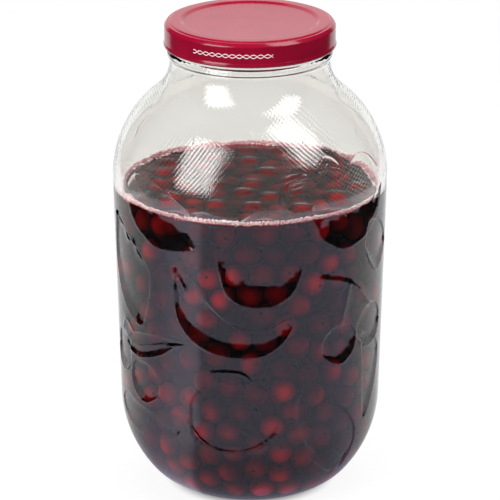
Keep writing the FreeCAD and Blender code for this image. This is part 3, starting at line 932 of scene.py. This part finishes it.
# %% Froth band
FROTH_WIDTH = 3.0
FROTH_HEIGHT = 1.6
FROTH_STEPS = 360
outer = wall_at_level - 0.5
sections = []
for k in range(FROTH_STEPS):
    a = 2 * math.pi * k / FROTH_STEPS
    swell = 1 + 0.22 * math.sin(7 * a + 1) + 0.16 * math.sin(17 * a + 2.2) + 0.12 * math.sin(41 * a)
    wide, tall = FROTH_WIDTH * swell, FROTH_HEIGHT * (0.7 + 0.3 * swell)
    section = [(outer, CONTACT - 0.6), (outer, LIQUID_LEVEL - 0.2),
               (outer - wide * 0.25, LIQUID_LEVEL + tall * 0.1),
               (outer - wide * 0.6, SURFACE + tall * 0.75), (outer - wide, SURFACE - 0.1),
               (outer - wide * 0.6, SURFACE - 0.6)]
    sections.append([at(r, a, z) for r, z in section])
froth = new_piece("froth", *sleeve(sections, closed=True))

# %% Bubbles
BUBBLE_COUNT = 3600
bubble_places, bubble_sizes = [], []
for k in range(BUBBLE_COUNT):
    a = dice.uniform(0, 2 * math.pi)
    size = 0.35 + 0.6 * dice.random() ** 2.0
    inward = size + 0.06
    if k % 3 == 0:
        inward += dice.random() ** 1.4 * (2.8 + 1.3 * math.sin(5 * a) + 1.0 * math.sin(11 * a + 1))
        up = SURFACE + size * 0.5
    else:
        up = LIQUID_LEVEL + 0.5 - dice.random() * (2.1 + 0.5 * math.sin(9 * a) + 0.5 * math.sin(23 * a + 2))
    r = wall_at_level - inward
    bubble_places.append(at(r, a, up))
    bubble_sizes.append(size)
ball = [(math.sin(math.pi * k / 4), -math.cos(math.pi * k / 4)) for k in range(5)]
bubble_shape = new_piece("one_bubble", *turn(ball, 7))


# %% Froth finish
def froth_finish(name, dark, pale):
    """Grainy froth between two colours."""
    skin, nodes, place = new_material(name)
    grain = nodes.step(nodes.noise(place, 900.0, 2.0), 0.3, 0.7)
    patch = nodes.step(nodes.noise(place, 90.0, 1.0), 0.35, 0.65)
    tone = nodes.mix(nodes.times(grain, nodes.plus(0.4, nodes.times(patch, 0.6))), dark, pale)
    cells = nodes.bump(nodes.noise(place, 1500.0, 1.0), 0.5, 0.0004)
    look = nodes.add("ShaderNodeBsdfPrincipled", {"Base Color": tone, "Roughness": 0.35, "IOR": 1.33,
                                                  "Normal": cells})
    nodes.show(look.outputs[0])
    return skin


froth.data.materials.append(froth_finish("mauve_froth", (0.30, 0.10, 0.13), (0.72, 0.46, 0.50)))
bubble_skin = froth_finish("pale_bubbles", (0.62, 0.32, 0.34), (0.98, 0.86, 0.85))

tree = scatter_tree("set_bubbles", bubble_skin)
bubbles = bake(point_cloud("bubble_points", bubble_places, bubble_sizes), tree,
               {"Shape": bubble_shape, "Seed": 9}, "bubbles")
bpy.data.objects.remove(bubble_shape)

# %% [markdown]
# ## Clear glass
# Clear glass bends light at each face, mirrors a little of it, and has a faint tint. The wall of a pressed
# jar is never quite even, so slow ripples break up what it mirrors. The mould leaves two crossing sets of
# fine ribs on the shoulder. In a lamp's reflection they show as a weave of bright and dark lines, but they
# hardly disturb what is seen through the glass, so they only change the mirrored part, in two leaning
# bands. Light on its way to the cherries passes straight through, because bent light would need far more
# samples to settle. Under the level the jar's inner face is clear, since juice lies against it.

# %% Fine ribs on the shoulder
RIB_BANDS = ((-30, -138, 17, 0.236), (31, -450, 15, 0.256))
RIB_FOOT = 0.24


def rib_bands(nodes, place, height):
    """1 on the ribbed bands, each given by its bearing, its lean (per metre up), half width and top."""
    turned, up = nodes.bearing(place), nodes.minus(height, RIB_FOOT)
    zone = None
    for middle, lean, reach, top in RIB_BANDS:
        centre = nodes.plus(nodes.times(up, math.radians(lean)), math.radians(middle))
        off = nodes.math("ABSOLUTE", nodes.minus(turned, centre))
        band = nodes.opposite(nodes.turn_step(off, reach - 4, reach + 2))
        band = nodes.times(band, nodes.opposite(nodes.step(height, top, top + 0.008)))
        zone = band if zone is None else nodes.plus(zone, band)
    return zone


def crossing_lines(nodes, place):
    """Two sets of fine waves, leaning either way, added up."""
    waves = []
    for tilt in (0.9, -0.7):
        leaning = nodes.add("ShaderNodeMapping", {"Vector": place, "Rotation": (0.0, tilt, 0.0)}).outputs[0]
        wave = nodes.add("ShaderNodeTexWave", {"Vector": leaning, "Scale": 165.0, "Distortion": 2.4,
                                               "Detail": 1.0, "Detail Scale": 0.8}, bands_direction="Z")
        waves.append(wave.outputs[1])
    return nodes.plus(*waves)


# %% Jar glass
GLASS_IOR = 1.5
glass, nodes, place = new_material("clear_glass")
height = nodes.parts(place)[2]
shoulder = nodes.step(height, 0.203, 0.209)
fine = crossing_lines(nodes, place)
rippled = nodes.bump(nodes.noise(place, 120.0, 1.0), 1.0, 0.00005)
ribbed = nodes.bump(nodes.times(fine, shoulder), 1.0, 0.00002, Normal=rippled)
bent = nodes.add("ShaderNodeBsdfRefraction", {"Color": (0.970, 0.967, 0.948), "Roughness": 0.0,
                                              "IOR": GLASS_IOR, "Normal": rippled}).outputs[0]
weave = nodes.mix(nodes.step(fine, 0.6, 1.5), (0.25, 0.25, 0.25), (2.4, 2.4, 2.4))
shine = nodes.mix(nodes.times(shoulder, rib_bands(nodes, place, height)), (1, 1, 1), weave)
mirrored = nodes.add("ShaderNodeBsdfAnisotropic", {"Color": shine, "Roughness": 0.0,
                                                   "Normal": ribbed}).outputs[0]
edge_on = nodes.add("ShaderNodeFresnel", {"IOR": GLASS_IOR, "Normal": rippled}).outputs[0]
nodes.show(lit_through(nodes, nodes.blend(edge_on, bent, mirrored)))
jar.data.materials.append(glass)

wetted, nodes, place = new_material("wetted_glass")
nodes.show(nodes.clear())
jar.data.materials.append(wetted)

# %% [markdown]
# ## Dark juice
# The juice's side bends light by the ratio of juice to glass, its open surface by that of juice to air,
# and its body soaks up green and blue within a few millimetres and red more slowly.

# %% Juice
JUICE_IN_GLASS, JUICE_IN_AIR = 0.907, 1.36
liquid, nodes, place = new_material("cherry_juice")
upright = nodes.parts(nodes.add("ShaderNodeNewGeometry").outputs["True Normal"])[2]
level_face = nodes.math("GREATER_THAN", nodes.math("ABSOLUTE", upright), 0.5)
top = nodes.times(level_face, nodes.math("GREATER_THAN", nodes.parts(place)[2], (SURFACE - 1.0) * MM))
slow_waves = nodes.bump(nodes.noise(place, 70.0, 1.0), 0.04, 0.0006)
side = nodes.add("ShaderNodeBsdfGlass", {"Color": (1, 1, 1), "Roughness": 0.0,
                                         "IOR": JUICE_IN_GLASS}).outputs[0]
open_top = nodes.add("ShaderNodeBsdfGlass", {"Color": (1.0, 0.93, 0.99), "Roughness": 0.0,
                                             "IOR": JUICE_IN_AIR, "Normal": slow_waves}).outputs[0]
nodes.show(lit_through(nodes, nodes.blend(top, side, open_top)))
soak = nodes.add("ShaderNodeVolumeAbsorption", {"Color": (0.885, 0.0, 0.05), "Density": 1000.0}).outputs[0]
nodes.show(soak, 1)
juice.data.materials.append(liquid)

# %% [markdown]
# ## The lid
# A twist-off lid is one disc of lacquered steel, pressed to a raised ring over the sealing compound, a
# sunk panel, a small ledge and a straight skirt, with its edge curled in and pinched to lugs that catch
# under the neck's threads. The section is drawn once, outer skin down and inner skin up, each corner
# rounded as sheet steel bends, and turned. The lugs are one curved block, set six times round.

# %% Lid section
LID_RADIUS = 52.4
SHEET = 0.6
LEDGE_RADIUS = 49.7
RING_OUTER = 48.6
RING_INNER = 42.6
PANEL_RADIUS = 40.2
LEDGE_DROP = 0.8
PANEL_DROP = 1.2
CURL_RADIUS = 1.1
CURL_STAND = 0.5
lid_top = lid_high[2]
curl_at = (LID_RADIUS + CURL_STAND - CURL_RADIUS, lid_low[2] + CURL_RADIUS)
outer_skin = rounded([
    (0, lid_top - PANEL_DROP, 0), (PANEL_RADIUS, lid_top - PANEL_DROP, 1.6), (RING_INNER, lid_top, 1.3),
    (RING_OUTER, lid_top, 0.7), (LEDGE_RADIUS, lid_top - LEDGE_DROP, 0.4),
    (LID_RADIUS - 1.6, lid_top - LEDGE_DROP, 0.3), (LID_RADIUS, lid_top - LEDGE_DROP - 2.0, 1.6),
    (LID_RADIUS, curl_at[1] + 1.6, 1.0),
    (curl_at[0] + CURL_RADIUS * 0.94, curl_at[1] + CURL_RADIUS * 0.6, 0)])
curl = [(curl_at[0] + CURL_RADIUS * math.cos(a), curl_at[1] + CURL_RADIUS * math.sin(a))
        for a in (math.radians(25 - 12 * k) for k in range(23))]
inner_skin = rounded([
    (0, lid_top - PANEL_DROP - SHEET, 0), (PANEL_RADIUS + 0.2, lid_top - PANEL_DROP - SHEET, 1.6),
    (RING_INNER + 0.2, lid_top - SHEET, 0.8), (RING_OUTER - 0.2, lid_top - SHEET, 0.3),
    (LEDGE_RADIUS - 0.3, lid_top - LEDGE_DROP - SHEET, 0.3),
    (LID_RADIUS - 1.9, lid_top - LEDGE_DROP - SHEET, 0.3),
    (LID_RADIUS - SHEET, lid_top - LEDGE_DROP - 2.4, 1.0),
    (LID_RADIUS - SHEET, curl_at[1] + CURL_RADIUS, 0)])
rows = list(reversed(outer_skin)) + inner_skin + list(reversed(curl))
lid = new_piece("twist_lid_skin", *turn(rows, closed=True))
print("lid open edges", open_edge_count(lid))

# %% Lugs
LUG_COUNT = 6
LUG_LENGTH = 14.0
LUG_REACH = 2.0
LUG_HEIGHT = 1.8
LUG_STEPS = 10
sections = []
for k in range(LUG_STEPS + 1):
    a = (k / LUG_STEPS - 0.5) * LUG_LENGTH / curl_at[0]
    ease = math.sin(math.pi * (k / LUG_STEPS)) ** 0.4
    inner = curl_at[0] - 0.2 - (LUG_REACH - 0.2) * ease
    section = [(curl_at[0], curl_at[1]), (inner, curl_at[1] + 0.2),
               (inner - 0.1, curl_at[1] + LUG_HEIGHT * 0.5),
               (inner, curl_at[1] + LUG_HEIGHT - 0.2), (curl_at[0], curl_at[1] + LUG_HEIGHT)]
    sections.append([at(r, a, z) for r, z in section])
points, faces = sleeve(sections)
wide = len(sections[0])
faces += [list(range(wide)), list(range(LUG_STEPS * wide, (LUG_STEPS + 1) * wide))]
lug_shape = new_piece("one_lug", points, faces)

# %% [markdown]
# ## The lid's finish
# Glossy red lacquer over steel, with the very fine unevenness of a rolled coat. The skirt carries a plain
# white line ornament, two crossing waves with dots between, where such lids are printed. The ornament is
# worked out from the angle round the axis and the height, so it bends with the skirt.

# %% White ornament on the skirt
ORNAMENT_FROM, ORNAMENT_TO = -37.0, 14.0
ORNAMENT_MIDDLE = 6.2
WAVE_LENGTH, WAVE_HEIGHT = 8.5, 1.05
DOT_STEP = WAVE_LENGTH / 4


def ornament(nodes, place):
    """1 on the two crossing waves and the dots between them, on the skirt's outer side."""
    around = nodes.times(nodes.bearing(place), LID_RADIUS)
    height = nodes.minus(nodes.math("DIVIDE", nodes.parts(place)[2], MM), curl_at[1] + ORNAMENT_MIDDLE)
    wave = nodes.times(nodes.math("SINE", nodes.times(around, 2 * math.pi / WAVE_LENGTH)), WAVE_HEIGHT)
    lines = []
    for sign in (1.0, -1.0):
        off = nodes.math("ABSOLUTE", nodes.minus(height, nodes.times(wave, sign)))
        lines.append(nodes.opposite(nodes.step(off, 0.14, 0.34)))
    beat = nodes.math("PINGPONG", nodes.plus(around, DOT_STEP), DOT_STEP)
    off = nodes.math("SQRT", nodes.plus(nodes.math("POWER", nodes.minus(beat, DOT_STEP), 2.0),
                                        nodes.math("POWER", nodes.math("ABSOLUTE", height), 2.0)))
    dots = nodes.opposite(nodes.step(off, 0.22, 0.42))
    marks = nodes.math("MAXIMUM", nodes.math("MAXIMUM", *lines), dots)
    in_run = nodes.times(nodes.math("GREATER_THAN", around, ORNAMENT_FROM),
                         nodes.math("LESS_THAN", around, ORNAMENT_TO))
    in_line = nodes.math("LESS_THAN", nodes.math("ABSOLUTE", height), 1.9)
    out_at = nodes.math("DIVIDE", nodes.from_axis(place), MM)
    on_skirt = nodes.math("GREATER_THAN", out_at, LID_RADIUS - 0.1)
    return nodes.times(nodes.times(marks, in_run), nodes.times(in_line, on_skirt))


# %% Lacquer
lacquer, nodes, place = new_material("red_lacquer")
shade = nodes.step(nodes.noise(place, 60.0, 2.0), 0.3, 0.7)
red = nodes.mix(shade, (0.25, 0.0015, 0.021), (0.28, 0.003, 0.024))
tone = nodes.mix(ornament(nodes, place), red, (0.86, 0.84, 0.84))
peel = nodes.bump(nodes.noise(place, 380.0, 2.0), 0.01, 0.0003)
skin = nodes.add("ShaderNodeBsdfPrincipled", {"Base Color": tone, "Roughness": 0.16, "IOR": 1.5,
                                              "Normal": peel})
nodes.show(skin.outputs[0])
lid.data.materials.append(lacquer)

# %% Lugs set round the lid
tree, nodes, given, out = new_tree("set_lugs", [("Shape", "NodeSocketObject", None),
                                                ("Count", "NodeSocketInt", 4)])
row = nodes.add("GeometryNodeMeshLine", {"Count": given["Count"], "Offset": (0, 0, 0)}).outputs[0]
sixth = nodes.math("DIVIDE", 2 * math.pi, given["Count"])
turn_by = nodes.times(nodes.add("GeometryNodeInputIndex").outputs[0], sixth)
spin = nodes.add("ShaderNodeCombineXYZ", {2: turn_by}).outputs[0]
put_shapes(nodes, given, out, lacquer, row, Rotation=spin)
lugs = bake(point_cloud("lug_start", [(0, 0, 0)], [1.0]), tree,
            {"Shape": lug_shape, "Count": LUG_COUNT}, "lid_lugs")
bpy.data.objects.remove(lug_shape)

# %% [markdown]
# ## Joining the frame
# Nothing on the jar moves against anything else, so every piece rides on the one body. The jar, the juice
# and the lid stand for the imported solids, which stay hidden for collision.

# %% Ride and replace
PIECES = {jar: "glass", juice: "contents", cherries: "contents", froth: "contents", bubbles: "contents",
          lid: "lid", lugs: "lid"}
for piece, slot in PIECES.items():
    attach(piece, "root")
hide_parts("glass_jar")
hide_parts("cherry_contents")
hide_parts("twist_lid")
print(len(PIECES), "pieces ride on the root")

# %% [markdown]
# ## The studio
# The jar stands on a white table against a white sweep. The table ends a little in front of the jar, and
# past it the room is dark: a wall that leans the least bit forward mirrors the table as a pale veil, and
# where the relief tips it up it mirrors the dark room, which is what makes the pressed fruits readable.
# Two soft boxes stand high at the left and right and light the cherries and the lid, and a third hangs over
# the jar.

# %% Table and sweep
TABLE_FRONT, TABLE_SIDE, TABLE_BACK, SWEEP_SIDE = -0.60, 0.62, 1.6, 1.2
SWEEP_TOP = 2.6


def plane(name, corners):
    mesh = bpy.data.meshes.new(name)
    mesh.from_pydata(corners, [], [list(range(len(corners)))])
    return shown(name, mesh)


right_edge = [(0.40, TABLE_FRONT), (0.56, -0.42), (TABLE_SIDE, -0.15), (TABLE_SIDE, 0.30),
              (SWEEP_SIDE, TABLE_BACK)]
table = plane("table", [(x, y, 0) for x, y in right_edge] + [(-x, y, 0) for x, y in reversed(right_edge)])
sweep = plane("sweep", [(-SWEEP_SIDE, TABLE_BACK, 0), (SWEEP_SIDE, TABLE_BACK, 0),
                        (SWEEP_SIDE, TABLE_BACK, SWEEP_TOP), (-SWEEP_SIDE, TABLE_BACK, SWEEP_TOP)])

# %% [markdown]
# ## The table's finish
# The table is plain white paper that glows evenly, so it stays white wherever the camera sees it. Mirrored
# in the jar it is a little bluish, with a bright strip at the front left that stands for a low lamp there.
# It is dark right under the heel and shaded around it, as paper under a jar is.

# %% White table
STRIP_FROM, STRIP_TO = (-84, -48), (-43, -36)
paper, nodes, place = new_material("white_table")
path = nodes.add("ShaderNodeLightPath").outputs
bearing, from_heel = nodes.bearing(place), nodes.length(place)
strip = nodes.times(nodes.turn_step(bearing, *STRIP_FROM),
                    nodes.opposite(nodes.turn_step(bearing, *STRIP_TO)))
sideways = nodes.turn_step(nodes.math("ABSOLUTE", bearing), 75, 105)
mirrored = nodes.mix(sideways, (0.85, 0.81, 1.08), (0.95, 0.95, 0.97))
mirrored = nodes.mix(strip, mirrored, (1.8, 1.7, 2.15))
mirrored = nodes.mix(path["Is Glossy Ray"], (1, 1, 1), mirrored)
shaded = nodes.times(nodes.opposite(nodes.step(from_heel, 0.07, 0.18)), path["Is Glossy Ray"])
mirrored = nodes.mix(nodes.times(shaded, 0.55), mirrored, (0, 0, 0))
under_heel = nodes.opposite(nodes.step(from_heel, 0.040, 0.056))
mirrored = nodes.mix(nodes.times(under_heel, 0.9), mirrored, (0.02, 0.01, 0.015))
lit = nodes.mix(path["Is Diffuse Ray"], mirrored, (0.34, 0.34, 0.34))
glow = nodes.add("ShaderNodeEmission", {"Color": lit, "Strength": 1.0}).outputs[0]
matt = nodes.add("ShaderNodeBsdfDiffuse", {"Color": (1, 1, 1)}).outputs[0]
nodes.show(nodes.blend(0.1, glow, matt))
table.data.materials.append(paper)

# %% [markdown]
# ## The sweep's finish
# The sweep glows like the table. High up it is dimmer for light that comes through the jar, which keeps
# the glass of the shoulder grey instead of white. It is clear from behind, so the jar can be looked at from
# the back as well.

# %% White sweep
white, nodes, place = new_material("white_sweep")
path = nodes.add("ShaderNodeLightPath").outputs
rise = nodes.step(nodes.parts(place)[2], 0.25, 0.55)
dim = nodes.times(nodes.times(rise, path["Is Transmission Ray"]), 0.55)
glow = nodes.add("ShaderNodeEmission", {"Color": (1, 1, 1), "Strength": nodes.opposite(dim)}).outputs[0]
from_behind = nodes.add("ShaderNodeNewGeometry").outputs["Backfacing"]
nodes.show(nodes.blend(from_behind, glow, nodes.clear()))
sweep.data.materials.append(white)

# %% [markdown]
# ## The room and its lamps
# The room is white to the camera, and through the glass it is white behind the jar and dim in front of it.
# In reflections it is dark. The lamp above is seen neither in reflections nor through the glass, since its
# own image would lie in the shoulder as a false bright patch.

# %% Room
world = bpy.data.worlds.new("room")
bpy.context.scene.world = world
world.use_nodes = True
world.node_tree.nodes.clear()
nodes = Nodes(world.node_tree, "ShaderNodeOutputWorld")
path = nodes.add("ShaderNodeLightPath").outputs
ahead = nodes.parts(nodes.add("ShaderNodeTexCoord").outputs["Generated"])[1]
behind = nodes.plus(0.12, nodes.times(nodes.step(ahead, -0.2, 0.3), 0.88))
bright = nodes.math("MAXIMUM", path["Is Camera Ray"], nodes.times(path["Is Transmission Ray"], behind))
bright = nodes.plus(bright, nodes.times(path["Is Diffuse Ray"], 0.25), clamp=True)
bright = nodes.math("MAXIMUM", bright, 0.03)
nodes.show(nodes.add("ShaderNodeBackground", {"Color": (1, 1, 1), "Strength": bright}).outputs[0])


# %% Lamps
LAMP_AIM = 0.22


def soft_box(name, azimuth, elevation, distance, width, tall, strength):
    """A square lamp seen from the jar's shoulder at an azimuth (0 is the front, + to the right)."""
    light = bpy.data.lights.new(name, "AREA")
    light.shape = "RECTANGLE"
    light.size, light.size_y = width, tall
    light.energy = strength * math.pi * width * tall
    lamp = shown(name, light)
    e = math.radians(elevation)
    x, y, _ = at(distance * math.cos(e), math.radians(azimuth), 0)
    lamp.location = (x, y, distance * math.sin(e) + LAMP_AIM)
    lamp.rotation_mode = "QUATERNION"
    lamp.rotation_quaternion = lamp.location.to_track_quat("Z", "Y")
    print(name, "radiance", strength)
    return lamp


soft_box("left_box", -47, 24, 1.3, 0.75, 1.15, 5.8)
soft_box("right_box", 61, 47, 1.3, 0.58, 1.05, 5.0)
top_box = soft_box("top_box", 0, 90, 1.4, 0.9, 0.9, 6.2)
top_box.visible_glossy = False
top_box.visible_transmission = False

# %% [markdown]
# ## Camera and colour
# The camera looks down about twenty degrees from the front, far back with a long lens, as product
# pictures are taken. The Standard view transform shows each colour as it is written.

# %% Camera
CAMERA_PITCH = 19.89
camera_data = bpy.data.cameras.new("camera")
camera_data.lens = 233.37
camera_data.sensor_width = 36.0
camera = shown("camera", camera_data)
camera.location = (0.0, -1.9053, 0.8403)
camera.rotation_euler = (math.radians(90 - CAMERA_PITCH), 0.0, 0.0)
bpy.context.scene.camera = camera
bpy.context.scene.view_settings.view_transform = "Standard"
